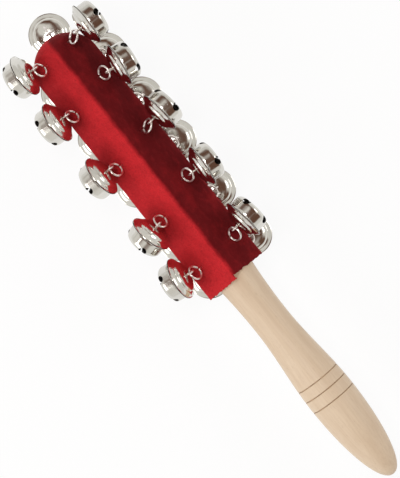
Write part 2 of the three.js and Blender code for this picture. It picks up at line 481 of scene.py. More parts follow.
@dataclass(frozen=True)
class Zone:
    """A soft edge in a mask: where it starts and stops, and the mask's strength before and after it."""

    start: float
    stop: float
    before: float
    after: float

    def mask(self, nodes: Nodes, value: bpy.types.NodeSocket, middle: float = 0.0) -> bpy.types.NodeSocket:
        """Make the mask.

        Args:
            nodes: Helper on the material's nodes.
            value: The value that the edge lies in.
            middle: What the edge is measured from.

        Returns:
            The mask's value.
        """
        return nodes.span(value, middle + self.start, middle + self.stop, self.before, self.after)


class Effects:
    """Shader node groups that more than one finish uses."""

    @staticmethod
    def group(name: str, inputs: dict[str, float], outputs: Sequence[str]
              ) -> tuple[bpy.types.NodeTree, Nodes]:
        """Start a node group with a vector input, number inputs and value outputs.

        Args:
            name: Name of the group.
            inputs: Number inputs with their first values.
            outputs: Names of the value outputs.

        Returns:
            The group and a helper on it.
        """
        tree = bpy.data.node_groups.new(name, "ShaderNodeTree")
        tree.interface.new_socket("Vector", in_out="INPUT", socket_type="NodeSocketVector")
        for key, value in inputs.items():
            socket = tree.interface.new_socket(key, in_out="INPUT", socket_type="NodeSocketFloat")
            socket.default_value = value
        for key in outputs:
            tree.interface.new_socket(key, in_out="OUTPUT", socket_type="NodeSocketFloat")
        return tree, Nodes(tree)

    @staticmethod
    def handling() -> bpy.types.NodeTree:
        """Build the marks of handling: soft smudges and fine hairline scratches.

        Returns:
            A group with Smudge and Scratch masks.
        """
        tree, nodes = Effects.group("handling_marks", {"Smudge Size": 90.0}, ("Smudge", "Scratch"))
        start = nodes.add("NodeGroupInput")
        end = nodes.add("NodeGroupOutput")
        smudge = nodes.add("ShaderNodeTexNoise")
        smudge.inputs["Detail"].default_value = 4.0
        nodes.link(start.outputs["Vector"], smudge.inputs["Vector"])
        nodes.link(start.outputs["Smudge Size"], smudge.inputs["Scale"])
        nodes.link(nodes.span(smudge.outputs["Fac"], 0.38, 0.68, 0.0, 1.0), end.inputs["Smudge"])
        fine = nodes.noise(nodes.stretch(start.outputs["Vector"], (0.25, 2.2, 1.0)), 2400.0, 2.0)
        nodes.link(nodes.span(fine, 0.6, 0.72, 0.0, 1.0), end.inputs["Scratch"])
        return tree

    @staticmethod
    def fibre() -> bpy.types.NodeTree:
        """Build long fibres along X: broad bands, fine lines and short pores.

        Returns:
            A group with Band, Line and Pore masks.
        """
        tree, nodes = Effects.group("long_fibre", {"Fineness": 1.0}, ("Band", "Line", "Pore"))
        start = nodes.add("NodeGroupInput")
        end = nodes.add("NodeGroupOutput")
        scaled = nodes.add("ShaderNodeVectorMath", operation="SCALE")
        nodes.link(start.outputs["Vector"], scaled.inputs[0])
        nodes.link(start.outputs["Fineness"], scaled.inputs["Scale"])
        for mask, along, cells, detail, zone in (
                ("Band", 0.07, 210.0, 4.0, Zone(0.35, 0.68, 0.0, 1.0)),
                ("Line", 0.03, 1300.0, 3.0, Zone(0.42, 0.7, 0.0, 1.0)),
                ("Pore", 0.12, 3000.0, 1.0, Zone(0.64, 0.72, 0.0, 1.0))):
            streaks = nodes.noise(nodes.stretch(scaled.outputs[0], (along, 1.0, 1.0)), cells, detail)
            nodes.link(zone.mask(nodes, streaks), end.inputs[mask])
        return tree


@dataclass(frozen=True)
class Finish:
    """A finish with one Principled shader that its own nodes feed."""

    name: str
    base: Colour
    roughness: float
    metallic: float = 0.0

    def start(self) -> tuple[bpy.types.Material, Nodes, bpy.types.Node, bpy.types.NodeSocket]:
        """Begin the material.

        Returns:
            The material, a helper on its nodes, its shader, and its object coordinates.
        """
        material = bpy.data.materials.new(self.name)
        material.use_nodes = True
        material.diffuse_color = (*self.base, 1.0)
        nodes = Nodes(material.node_tree)
        shader = nodes.first("BSDF_PRINCIPLED")
        shader.inputs["Base Color"].default_value = (*self.base, 1.0)
        shader.inputs["Roughness"].default_value = self.roughness
        shader.inputs["Metallic"].default_value = self.metallic
        place = nodes.add("ShaderNodeTexCoord")
        return material, nodes, shader, place.outputs["Object"]


@dataclass(frozen=True)
class PaleWood(Finish):
    """Pale close-grained wood under a thin satin varnish."""

    streak: Colour = (0.57, 0.42, 0.28)
    pore: Colour = (0.48, 0.34, 0.22)
    band_share: float = 0.42
    line_share: float = 0.3
    pore_share: float = 0.3
    smudge_size: float = 60.0
    smudge: float = 0.1
    varnish: float = 0.12
    varnish_roughness: float = 0.35
    grain_depth: float = 0.00004
    grain_strength: float = 0.25

    def make(self, fibre: bpy.types.NodeTree, handling: bpy.types.NodeTree) -> bpy.types.Material:
        """Build the material.

        Args:
            fibre: The long fibre effect.
            handling: The handling marks effect.

        Returns:
            The wood's material.
        """
        material, nodes, shader, place = self.start()
        grain = nodes.effect(fibre, place)
        marks = nodes.effect(handling, place)
        marks.inputs["Smudge Size"].default_value = self.smudge_size
        colour: object = self.base
        for mask, share, tone in (
                ("Band", self.band_share, self.streak), ("Line", self.line_share, self.streak),
                ("Pore", self.pore_share, self.pore)):
            colour = nodes.blend(nodes.maths("MULTIPLY", grain.outputs[mask], share), colour, tone)
        nodes.link(colour, shader.inputs["Base Color"])
        gloss = nodes.maths("MULTIPLY", marks.outputs["Smudge"], self.smudge)
        nodes.link(nodes.maths("ADD", gloss, self.roughness), shader.inputs["Roughness"])
        shader.inputs["Coat Weight"].default_value = self.varnish
        shader.inputs["Coat Roughness"].default_value = self.varnish_roughness
        nodes.relief(grain.outputs["Line"], self.grain_depth, self.grain_strength, shader)
        return material


@dataclass(frozen=True)
class ScribedLine(Finish):
    """Brown burnish in the lines scribed round the handle."""

    lift: float = 1.6

    def make(self, fibre: bpy.types.NodeTree) -> bpy.types.Material:
        """Build the material.

        Args:
            fibre: The long fibre effect.

        Returns:
            The material of the scribed lines.
        """
        material, nodes, shader, place = self.start()
        grain = nodes.effect(fibre, place)
        light = tuple(min(1.0, c * self.lift) for c in self.base)
        nodes.link(nodes.blend(grain.outputs["Band"], self.base, light), shader.inputs["Base Color"])
        return material


@dataclass(frozen=True)
class Velvet(Finish):
    """Short-pile velvet, brushed into soft patches, with painted shade on the right faces, the outer parts of
    the faces and the far end. Ridge is the head's upper edge, foot its shoulder.
    """

    ridge: float = 0.0
    foot: float = 0.0
    # Deep red of the pile, also painted as shade on the right faces, the outer parts of the faces and the far
    # end.
    deep: Colour = (0.105, 0.0035, 0.0055)
    tip: Colour = (0.62, 0.04, 0.045)
    # Near-black red, painted as shade on the outer part of the right faces.
    night: Colour = (0.03, 0.0015, 0.0025)
    sheen: Colour = (1.0, 0.25, 0.25)
    sheen_weight: float = 0.2
    sheen_roughness: float = 0.4
    gloss: float = 0.1
    wander: float = 0.0016
    # Painted shade on the right faces, where the pile leans away; it eases a little past the right edge.
    right_faces: Zone = Zone(-0.0011, 0.0009, 0.0, 0.9)
    right_edge: Zone = Zone(0.0148, 0.0168, 1.0, 0.6)
    # Painted shade on the outer parts of the faces, towards their side edges, stronger away from the shoulder.
    right_outer: Zone = Zone(0.004, 0.011, 0.0, 0.65)
    left_outer: Zone = Zone(-0.006, -0.0145, 0.0, 0.55)
    from_foot: Zone = Zone(-0.03, -0.11, 0.3, 1.0)
    # Painted shade: darker towards the far end of the head.
    far_end: Zone = Zone(-0.07, -0.12, 0.0, 0.14)
    brushed_back: Zone = Zone(0.52, 0.34, 0.0, 0.16)
    # Crushed pile in random patches, stronger on the right faces, where it adds to the painted shade.
    crushed: Zone = Zone(0.42, 0.64, 0.0, 1.0)
    crush_share: float = 0.4
    crush_least: float = 0.22
    stroked: Zone = Zone(0.5, 0.72, 0.0, 0.24)
    stroke_fade: Zone = Zone(0.0, 0.9, 1.0, 0.45)
    fuzzy: Zone = Zone(0.52, 0.3, 0.0, 0.18)
    between_tufts: Zone = Zone(0.5, 0.3, 0.0, 0.4)
    pile_share: float = 0.6
    stroke_share: float = 0.4
    pile_depth: float = 0.0004
    pile_strength: float = 0.6

    def make(self) -> bpy.types.Material:
        """Build the material: the pile leans away on the right faces, and their darker colour is painted shade.

        Returns:
            The velvet's material.
        """
        material, nodes, shader, place = self.start()
        patch = nodes.noise(place, 75.0, 4.0, 0.6)
        brushed = nodes.noise(nodes.stretch(place, (0.6, 1.0, 1.0)), 520.0, 4.0, 0.65)
        pile = nodes.noise(place, 2600.0, 2.0, 0.6)
        # The colour carries the painted shade; lean is the mask of the right faces' painted shade.
        colour, lean = self.lie(nodes, place, patch)
        colour = nodes.blend(self.brushed_back.mask(nodes, patch), colour, self.base)
        # Crushed patches are stronger where the right faces' painted shade is.
        crush = nodes.maths("ADD", nodes.maths("MULTIPLY", lean, self.crush_share), self.crush_least)
        crush_and_shade = nodes.maths("MULTIPLY", self.crushed.mask(nodes, patch), crush)
        colour = nodes.blend(crush_and_shade, colour, self.deep)
        fuzz = nodes.noise(place, 900.0, 2.0, 0.6)
        stroke = nodes.maths("MULTIPLY", self.stroked.mask(nodes, brushed),
                             self.stroke_fade.mask(nodes, lean))
        colour = nodes.blend(stroke, colour, self.tip)
        colour = nodes.blend(self.fuzzy.mask(nodes, fuzz), colour, self.deep)
        colour = nodes.blend(self.between_tufts.mask(nodes, pile), colour, self.deep)
        nodes.link(colour, shader.inputs["Base Color"])
        shader.inputs["Sheen Weight"].default_value = self.sheen_weight
        shader.inputs["Sheen Roughness"].default_value = self.sheen_roughness
        shader.inputs["Sheen Tint"].default_value = (*self.sheen, 1.0)
        shader.inputs["Specular IOR Level"].default_value = self.gloss
        height = nodes.maths("ADD", nodes.maths("MULTIPLY", pile, self.pile_share),
                             nodes.maths("MULTIPLY", brushed, self.stroke_share))
        nodes.relief(height, self.pile_depth, self.pile_strength, shader)
        return material

    def lie(self, nodes: Nodes, place: bpy.types.NodeSocket, patch: bpy.types.NodeSocket
            ) -> tuple[bpy.types.NodeSocket, bpy.types.NodeSocket]:
        """Colour the faces with painted shade: darker on the right faces, where the pile leans away, on the
        outer parts of the faces and towards the far end.

        Args:
            nodes: Helper on the material's nodes.
            place: The object coordinates.
            patch: Soft patches that make the edges wander.

        Returns:
            The colour, and how far the pile leans away, which is also the mask of the right faces' painted
            shade.
        """
        parts = nodes.add("ShaderNodeSeparateXYZ")
        nodes.link(place, parts.inputs[0])
        wander = nodes.maths("MULTIPLY", nodes.maths("SUBTRACT", patch, 0.5), self.wander)
        across = nodes.maths("ADD", parts.outputs["Y"], wander)
        # Painted shade on the right faces.
        lean = self.right_faces.mask(nodes, across, self.ridge)
        lean = nodes.maths("MULTIPLY", lean, self.right_edge.mask(nodes, across, self.ridge))
        colour = nodes.blend(lean, self.base, self.deep)
        # Painted shade on the outer parts of the faces, stronger away from the shoulder.
        ahead = self.from_foot.mask(nodes, parts.outputs["X"], self.foot)
        for zone, tone in ((self.right_outer, self.night), (self.left_outer, self.deep)):
            outer = nodes.maths("MULTIPLY", zone.mask(nodes, across, self.ridge), ahead)
            colour = nodes.blend(outer, colour, tone)
        # Painted shade towards the far end.
        colour = nodes.blend(self.far_end.mask(nodes, parts.outputs["X"], self.foot), colour, self.deep)
        return colour, lean


@dataclass(frozen=True)
class BrightPlate(Finish):
    """Bright plated metal with faint marks of handling."""

    smudge: float = 0.08
    scratch_share: float = 0.8
    smudge_tone: float = 0.9
    wave_cells: float = 160.0
    wave_depth: float = 0.00006
    wave_strength: float = 0.3

    def make(self, handling: bpy.types.NodeTree) -> bpy.types.Material:
        """Build the material.

        Args:
            handling: The handling marks effect.

        Returns:
            The plated metal's material.
        """
        material, nodes, shader, place = self.start()
        marks = nodes.effect(handling, place)
        dull = nodes.maths("MULTIPLY", marks.outputs["Smudge"], self.smudge)
        hairs = nodes.maths("MULTIPLY", marks.outputs["Scratch"], self.smudge * self.scratch_share)
        total = nodes.maths("ADD", nodes.maths("ADD", dull, hairs), self.roughness)
        nodes.link(total, shader.inputs["Roughness"])
        tint = tuple(c * self.smudge_tone for c in self.base)
        nodes.link(nodes.blend(marks.outputs["Smudge"], self.base, tint), shader.inputs["Base Color"])
        nodes.relief(nodes.noise(place, self.wave_cells, 2.0), self.wave_depth, self.wave_strength, shader)
        return material


@dataclass
class Stick:
    """Wooden stick: turned handle and the square head inside the velvet. Sizes in millimetres."""

    origin: Vector
    handle_length: float = 116.0
    neck: float = 10.1
    waist: float = 8.7
    waist_at: float = 27.0
    bulb: float = 11.3
    bulb_at: float = 71.0
    grooves: tuple[float, ...] = (60.5, 66.0, 71.9)
    groove_width: float = 0.55
    groove_depth: float = 0.25
    core_side: float = 21.8
    core_corner: float = 0.9
    core_length: float = 135.4
    core_reach: float = 15.0
    stub: float = 4.0
    end_fullness: float = 2.2
    waist_cuts: int = 44
    end_cuts: int = 26
    groove_shape: tuple[Point, ...] = ((-1.0, 0.0), (-0.35, 0.9), (0.0, 1.0), (0.35, 0.9), (1.0, 0.0))
    groove_stain: float = 0.45

    def radius(self, x: float) -> float:
        """Radius of the handle at a distance from the shoulder.

        Args:
            x: Distance from the shoulder.

        Returns:
            The radius there.
        """
        if x < self.waist_at:
            return self.waist + (self.neck - self.waist) * (1 - x / self.waist_at) ** 2
        if x < self.bulb_at:
            t = (x - self.waist_at) / (self.bulb_at - self.waist_at)
            return self.waist + (self.bulb - self.waist) * (1 - math.cos(t * math.pi)) / 2
        t = min((x - self.bulb_at) / (self.handle_length - self.bulb_at), 1.0)
        return self.bulb * (1 - t * t) ** (1 / self.end_fullness)

    def profile(self) -> list[Point]:
        """Outline of the handle, from inside the head to the round end, with its scribed grooves.

        Returns:
            (radius, distance) points.
        """
        places = [i * self.bulb_at / self.waist_cuts for i in range(self.waist_cuts + 1)]
        rest = self.handle_length - self.bulb_at
        places += [self.bulb_at + rest * math.sin(i / self.end_cuts * QUARTER) for i in range(1, self.end_cuts)]
        half = self.groove_width / 2
        points = [(self.radius(x), x) for x in places
                  if all(abs(x - g) > self.groove_width for g in self.grooves)]
        for place in self.grooves:
            for share, depth in self.groove_shape:
                x = place + half * share
                points.append((self.radius(x) - depth * self.groove_depth, x))
        points.sort(key=lambda p: p[1])
        return [(0.0, -self.stub), (self.neck, -self.stub), *points, (0.0, self.handle_length)]

    def build(self) -> bpy.types.Object:
        """Model the handle and the head's core as one stick.

        Returns:
            The stick at its place.
        """
        handle = Bench.turned("wooden_handle_stick", self.profile(), LATHE_FACETS)
        handle.data.transform(Matrix.Rotation(QUARTER, 4, "Y"))
        blank = HeadBlank(self.core_side, self.core_corner, self.core_length, self.core_reach)
        stick = Bench.join([handle, blank.build("head_core", 0.0)])
        stick.data.transform(Matrix.Translation(self.origin))
        Bench.smooth(stick, 35)
        return stick

    def dress(self, stick: bpy.types.Object, wood: bpy.types.Material, line: bpy.types.Material) -> None:
        """Give the stick its wood and its brown scribed lines.

        Args:
            stick: The stick.
            wood: The wood's material.
            line: The material in the grooves.
        """
        Bench.coat(stick, wood, line)
        reach = self.groove_width * self.groove_stain
        for face in stick.data.polygons:
            x = (face.center.x - self.origin.x) / MM
            face.material_index = int(any(abs(x - g) < reach for g in self.grooves))


@dataclass
class HeadBlank:
    """Square bar with rounded edges and a domed far end, one edge up. Sizes in millimetres."""

    side: float
    corner: float
    length: float
    reach: float
    corner_cuts: int = 6
    dome_cuts: int = 24
    edge_share: float = 0.9
    room: float = 4

    def build(self, name: str, past: float) -> bpy.types.Object:
        """Model the bar from its shoulder to its dome.

        Args:
            name: Name of the new object.
            past: How far it runs past the shoulder.

        Returns:
            The bar along -X, with the shoulder's middle at the origin.
        """
        Bench.clear()
        whole = self.length + past
        bpy.ops.mesh.primitive_cube_add(size=self.side * MM, location=(0, 0, 0))
        bar = bpy.context.object
        bar.name = name
        Bench.edit(bar, "EDGE")
        bpy.ops.mesh.select_all(action="SELECT")
        bpy.ops.transform.resize(value=(whole / self.side, 1, 1))
        bpy.ops.transform.translate(value=((past - self.length) / 2 * MM, 0, 0))
        near = self.side / 2 * self.edge_share * MM
        Bench.pick(bar, "EDGE", lambda c: abs(c.y) > near and abs(c.z) > near)
        bpy.ops.mesh.bevel(offset=self.corner * MM, segments=self.corner_cuts, affect="EDGES")
        bpy.ops.object.mode_set(mode="OBJECT")
        bar.data.transform(Matrix.Rotation(QUARTER / 2, 4, "X"))
        start = self.length - self.reach
        turns = [i / self.dome_cuts * QUARTER for i in range(self.dome_cuts)]
        arc = [(self.reach * math.cos(a), start + self.reach * math.sin(a)) for a in turns]
        wide = self.reach + self.room
        back = -past - self.room
        outline = [(0.0, back), (wide, back), (wide, start), *arc, (0.0, self.length)]
        bullet = Bench.turned("dome_tool", outline, LATHE_FACETS)
        bullet.data.transform(Matrix.Rotation(-QUARTER, 4, "Y"))
        Bench.cut(bar, bullet, "INTERSECT")
        return bar


@dataclass
class VelvetSleeve:
    """Velvet glued round the head, cut unevenly at the shoulder. Sizes in millimetres."""

    origin: Vector
    side: float = 24.0
    corner: float = 2.2
    length: float = 136.5
    reach: float = 16.1
    wall: float = 0.7
    left_past: float = 2.0
    spare: float = 2.0
    trim_reach: float = 8
    weave: float = 0.8
    loose_size: float = 11.0
    loose_depth: float = 0.35
    tuft_size: float = 2.2
    tuft_depth: float = 0.14
    fray_size: float = 1.6
    fray_reach: float = 1.5
    fray_depth: float = 1.6

    def build(self) -> bpy.types.Object:
        """Model the sleeve: a soft skin over the head, open at the shoulder.

        Returns:
            The sleeve at its place.
        """
        blank = HeadBlank(self.side, self.corner, self.length, self.reach)
        skin = blank.build("velvet_cover", self.left_past + self.spare)
        Bench.take(skin)
        skin.data.remesh_voxel_size = self.weave * MM
        bpy.ops.object.voxel_remesh()
        soften = skin.modifiers.new("soften", "SMOOTH")
        soften.factor = 0.5
        soften.iterations = 4
        Bench.apply(skin, soften)
        Bench.apply(skin, self.ripple(skin, "loose_cloth", self.loose_size, self.loose_depth, 0.75))
        Bench.apply(skin, self.ripple(skin, "pile_tufts", self.tuft_size, self.tuft_depth, 0.75))
        self.trim(skin, lambda c: c.y <= 0, Vector((self.left_past, 0, 0)), Vector((1, 0.03, 0.02)))
        self.trim(skin, lambda c: c.y > 0, Vector((0, 0, 0)), Vector((1, -0.02, 0.01)))
        self.fray(skin)
        thick = skin.modifiers.new("thick", "SOLIDIFY")
        thick.thickness = self.wall * MM
        thick.offset = -1.0
        Bench.apply(skin, thick)
        skin.data.transform(Matrix.Translation(self.origin))
        Bench.smooth(skin, 60)
        return skin

    def ripple(self, skin: bpy.types.Object, name: str, size: float, depth: float, level: float
               ) -> bpy.types.Modifier:
        """Move the cloth a little, in soft patches.

        Args:
            skin: The cloth.
            name: Name of the patches.
            size: Size of the patches.
            depth: How far the cloth moves.
            level: The patches' value at which it stays in place.

        Returns:
            The modifier that moves it, not yet applied.
        """
        texture = bpy.data.textures.new(name, "CLOUDS")
        texture.noise_scale = size * MM
        move = skin.modifiers.new(name, "DISPLACE")
        move.texture = texture
        move.texture_coords = "LOCAL"
        move.strength = depth * MM
        move.mid_level = level
        return move

    def fray(self, skin: bpy.types.Object) -> None:
        """Make the cut end of the cloth slightly ragged.

        Args:
            skin: The cloth.
        """
        group = skin.vertex_groups.new(name="cut_end")
        for vertex in skin.data.vertices:
            near = vertex.co.x / MM + self.fray_reach
            if near > 0:
                group.add([vertex.index], min(near / self.fray_reach, 1.0), "REPLACE")
        move = self.ripple(skin, "frayed_end", self.fray_size, self.fray_depth, 0.6)
        move.direction = "X"
        move.vertex_group = group.name
        Bench.apply(skin, move)

    def trim(self, skin: bpy.types.Object, side: Callable[[Vector], bool], at: Vector, normal: Vector) -> None:
        """Cut one side of the cloth's open end.

        Args:
            skin: The cloth.
            side: Says which faces are cut, by their middles.
            at: A point of the cut.
            normal: The way that the cut-off end lies.
        """
        Bench.edit(skin, "FACE")
        Bench.pick(skin, "FACE", lambda c: side(c) and c.x > -self.trim_reach * MM)
        bpy.ops.mesh.bisect(
            plane_co=at * MM, plane_no=normal.normalized(), clear_outer=True, clear_inner=False)
        bpy.ops.object.mode_set(mode="OBJECT")


@dataclass
class Bell:
    """Pressed sheet bell: loop, domed cap, crimped rim and a cup with sound holes. Sizes in millimetres."""

    loop: float = 1.65
    loop_wire: float = 0.4
    cap_top: float = 1.5
    cap_radius: float = 9.6
    dome_radius: float = 7.5
    skirt: float = 1.5
    fullness: float = 0.5
    rim_top: float = 5.15
    rim_radius: float = 10.0
    rim_foot: float = 5.95
    cup_radius: float = 8.75
    foot: float = 12.65
    corner: float = 2.3
    sheet: float = 0.45
    hole: float = 1.9
    hole_tilt: float = 38.0
    slit: float = 0.9
    lip: float = 0.05
    skirt_curve: float = 1.3
    dome_shares: tuple[float, ...] = (0.1, 0.2, 0.3, 0.4, 0.5, 0.6, 0.69, 0.77, 0.84, 0.9, 0.94, 0.97)
    skirt_shares: tuple[float, ...] = (0.04, 0.14, 0.34, 0.56, 0.78, 0.94)
    crimp: tuple[Point, ...] = (
        (0.2, 0.0), (0.06, 0.06), (0.0, 0.2), (0.04, 0.25), (0.4, 0.31), (0.4, 0.49), (0.04, 0.55), (0.0, 0.6))
    crimp_foot: tuple[Point, ...] = ((0.06, 0.06), (0.2, 0.0))
    cup_neck: tuple[Point, ...] = ((0.35, 0.0), (0.12, -0.12), (-0.08, 0.02), (0.0, 0.3))
    foot_shares: tuple[float, ...] = (0.75, 0.5, 0.25, 0.0)
    wall_cuts: int = 5
    corner_cuts: int = 8
    hollow_cuts: int = 6
    hollow_rim: Point = (1.6, 0.1)
    hollow_dome: Point = (0.5, 0.5)
    loop_gap: float = 1.0
    loop_cuts: int = 28
    loop_root: float = 0.3
    # Where the dark metal of painted shade goes: the seam's band and depth, how steep an inner face is, and how
    # far inside the wall.
    seam: Point = (0.24, 0.56)
    seam_depth: float = 0.6
    steep: float = 0.3
    wall_room: float = 0.2
    punch_length: float = 4.4
    punch_facets: int = 36
    blade_sheets: int = 4

    def outside(self) -> list[Point]:
        """Outline of the bell from the cap's top to the middle of its foot.

        Returns:
            (radius, depth below the loop's middle) points.
        """
        dome = self.dome_radius
        rise = self.rim_top - self.skirt - self.cap_top
        points = [(0.0, self.cap_top)]
        for share in self.dome_shares:
            points.append((dome * share, self.cap_top + rise * (1 - (1 - share * share) ** self.fullness)))
        fall = self.skirt - self.lip
        for share in self.skirt_shares:
            out = dome + (self.cap_radius - dome) * share
            points.append((out, self.rim_top - self.lip - fall * (1 - share ** self.skirt_curve)))
        points.append((self.cap_radius, self.rim_top - self.lip))
        points += [(self.rim_radius - inset, self.rim_top + drop) for inset, drop in self.crimp]
        points += [(self.rim_radius - inset, self.rim_foot - lift) for inset, lift in self.crimp_foot]
        points += [(self.cup_radius + out, self.rim_foot + drop) for out, drop in self.cup_neck]
        wall = self.foot - self.corner
        drop = self.cup_neck[-1][1]
        for i in range(1, self.wall_cuts + 1):
            down = self.rim_foot + drop + (wall - self.rim_foot - drop) * i / self.wall_cuts
            points.append((self.cup_radius, down))
        flat = self.cup_radius - self.corner
        for i in range(1, self.corner_cuts + 1):
            a = i / self.corner_cuts * QUARTER
            points.append((flat + self.corner * math.cos(a), wall + self.corner * math.sin(a)))
        points += [(flat * share, self.foot) for share in self.foot_shares]
        return points

    def inside(self) -> list[Point]:
        """Outline of the hollow, from the foot's middle back to the cap.

        Returns:
            (radius, depth below the loop's middle) points.
        """
        wall = self.foot - self.corner
        inner = self.corner - self.sheet
        flat = self.cup_radius - self.corner
        points = [(0.0, self.foot - self.sheet)]
        for i in range(self.hollow_cuts + 1):
            a = QUARTER - i / self.hollow_cuts * QUARTER
            points.append((flat + inner * math.cos(a), wall + inner * math.sin(a)))
        inset, lift = self.hollow_rim
        share, fall = self.hollow_dome
        points += [(self.cup_radius - self.sheet, self.rim_foot),
                   (self.cap_radius - inset, self.rim_top - lift),
                   (self.cap_radius * share, self.cap_top + fall + self.sheet),
                   (0.0, self.cap_top + self.sheet)]
        return points

    def build(self) -> tuple[bpy.types.Object, bpy.types.Object]:
        """Model the shell with its sound holes, and the wire loop.

        Returns:
            The shell and the loop, with the loop's middle at the origin and the bell hanging down -Z.
        """
        shell = Bench.turned("bell_shell", [(r, -h) for r, h in self.outside()], LATHE_FACETS)
        Bench.cut(shell, Bench.turned("bell_hollow", [(r, -h) for r, h in self.inside()], LATHE_FACETS))
        Bench.cut(shell, self.hole_tool())
        for turn in (0.0, QUARTER):
            Bench.cut(shell, self.slit_tool(turn))
        Bench.smooth(shell, 38)
        loop = Bench.wire_arc("bell_loop", self.loop, self.loop_wire, -QUARTER + self.loop_gap / 2,
                              FULL - self.loop_gap, self.loop_cuts)
        self.feet(loop)
        loop.data.transform(Matrix.Rotation(QUARTER, 4, "Z") @ Matrix.Rotation(QUARTER, 4, "X"))
        Bench.smooth(loop, 50)
        return shell, loop

    def dress(self, shell: bpy.types.Object, plate: bpy.types.Material, seam: bpy.types.Material) -> None:
        """Plate the shell, and give its inside and the seam of its rim a dark metal as painted shade.

        Args:
            shell: The shell about its own axis.
            plate: The plated metal.
            seam: The dark metal of painted shade, inside and in the seam.
        """
        Bench.coat(shell, plate, seam)
        # Faces in the seam and inside the bell get the dark metal of painted shade.
        top, low = self.seam
        for face in shell.data.polygons:
            normal, middle = face.normal, face.center
            depth = -middle.z / MM
            reach = math.hypot(middle.x, middle.y) / MM
            in_seam = top < depth - self.rim_top < low and reach > self.rim_radius - self.seam_depth
            turned_in = normal.x * middle.x + normal.y * middle.y < 0 or normal.z > self.steep
            in_cup = depth > self.rim_foot and turned_in
            in_cap = depth <= self.rim_foot and normal.z < -self.steep
            inside = reach < self.cup_radius - self.wall_room and (in_cup or in_cap)
            face.material_index = int(in_seam or inside)

    def feet(self, loop: bpy.types.Object) -> None:
        """Lengthen the loop's two ends down through the cap.

        Args:
            loop: The loop, still in the XY plane with its gap at -Y.
        """
        reach = (self.cap_top + self.sheet + self.loop_root) * MM
        Bench.edit(loop, "FACE")
        low = min(v.co.y for v in loop.data.vertices)
        for side in (-1, 1):
            caps = [f for f in loop.data.polygons if len(f.vertices) > 4 and f.center.x * side > 0]
            middle = caps[0].center.copy()
            Bench.pick(loop, "FACE", lambda c: (c - middle).length < SAME_SPOT)
            bpy.ops.mesh.extrude_region_move(TRANSFORM_OT_translate={"value": (0, -reach - low, 0)})
        bpy.ops.object.mode_set(mode="OBJECT")

    def hole_tool(self) -> bpy.types.Object:
        """Model the four punches of the sound holes.

        Returns:
            One object with the four punches.
        """
        punches = []
        tilt = math.radians(self.hole_tilt)
        reach = self.cup_radius - self.corner * (1 - math.cos(tilt))
        depth = -(self.foot - self.corner * (1 - math.sin(tilt)))
        for i in range(4):
            Bench.clear()
            bpy.ops.mesh.primitive_cylinder_add(
                vertices=self.punch_facets, radius=self.hole * MM, depth=self.punch_length * MM,
                location=(reach * MM, 0, depth * MM), rotation=(0, QUARTER + tilt, 0))
            punch = bpy.context.object
            bpy.ops.object.transform_apply(location=True, rotation=True, scale=True)
            punch.data.transform(Matrix.Rotation(i * QUARTER, 4, "Z"))
            punches.append(punch)
        return Bench.join(punches)

    def slit_tool(self, turn: float) -> bpy.types.Object:
        """Model the blade of one slit across the foot.

        Args:
            turn: Its turn about the bell's axis, in radians.

        Returns:
            The blade.
        """
        Bench.clear()
        bpy.ops.mesh.primitive_cube_add(size=MM, location=(0, 0, -self.foot * MM))
        blade = bpy.context.object
        blade.scale = (2 * (self.cup_radius - self.corner), self.slit, self.blade_sheets * self.sheet)
        bpy.ops.object.transform_apply(location=True, rotation=True, scale=True)
        blade.data.transform(Matrix.Rotation(turn, 4, "Z"))
        return blade


@dataclass
class ScrewEye:
    """Screw eye of plated wire: an open ring on a threaded shank. Sizes in millimetres."""

    ring: float = 3.2
    wire: float = 0.46
    gap: float = 0.3
    shank: float = 9.5
    pitch: float = 0.9
    plain: float = 1.6
    sunk: Point = (0.25, 0.1)
    taper: float = 0.35
    root: float = 0.72
    crest: float = 0.15
    tip: Point = (0.2, 0.3)
    tip_length: float = 1
    ring_cuts: int = 44

    def build(self) -> bpy.types.Object:
        """Model the ring and its shank.

        Returns:
            The eye, with the ring's middle at the origin, in the XY plane, and the shank down -Y.
        """
        ring = Bench.wire_arc("eye_ring", self.ring, self.wire, -QUARTER, FULL - self.gap, self.ring_cuts)
        depth = self.ring + self.plain
        points = [(0.0, self.ring - self.sunk[0]), (self.wire, self.ring - self.sunk[1]), (self.wire, depth)]
        while depth + self.pitch < self.ring + self.shank - self.tip_length:
            slim = 1 - self.taper * (depth - self.ring) / self.shank
            points += [(self.wire * slim, depth + self.crest),
                       (self.wire * slim * self.root, depth + self.pitch / 2),
                       (self.wire * slim, depth + self.pitch)]
            depth += self.pitch
        points += [(self.tip[0], self.ring + self.shank - self.tip[1]), (0.0, self.ring + self.shank)]
        shank = Bench.turned("eye_shank", [(r, -h) for r, h in points], WIRE_FACETS)
        shank.data.transform(Matrix.Rotation(-QUARTER, 4, "X"))
        eye = Bench.join([ring, shank])
        Bench.smooth(eye, 50)
        return eye


@dataclass
class Pellet:
    """Loose steel pellet with two small flats, as cut from rod and tumbled. Sizes in millimetres."""

    radius: float = 2.8
    flat: float = 2.62
    flat_share: float = 0.97
    segments: int = 24
    rings: int = 14

    def build(self) -> bpy.types.Object:
        """Model the pellet.

        Returns:
            The pellet about the origin.
        """
        Bench.clear()
        bpy.ops.mesh.primitive_uv_sphere_add(
            segments=self.segments, ring_count=self.rings, radius=self.radius * MM)
        pellet = bpy.context.object
        pellet.name = "pellet_shape"
        Bench.edit(pellet)
        Bench.pick(pellet, "VERT", lambda c: abs(c.z) > self.flat * self.flat_share * MM)
        bpy.ops.transform.resize(value=(1, 1, self.flat / self.radius))
        bpy.ops.object.mode_set(mode="OBJECT")
        Bench.smooth(pellet, 40)
        return pellet


@dataclass(frozen=True)
class Hang:
    """One eye and its bell: place along and across the face, ring's twist, holes' turn, turn about the link."""

    x: float
    side: float
    twist: float
    turn: float
    spin: float = 0.0


@dataclass(frozen=True)
class Row:
    """One face's row: height of its rings over the velvet, play of ring in loop, and what hangs there."""

    rise: float
    slack: float
    hangs: list[Hang]


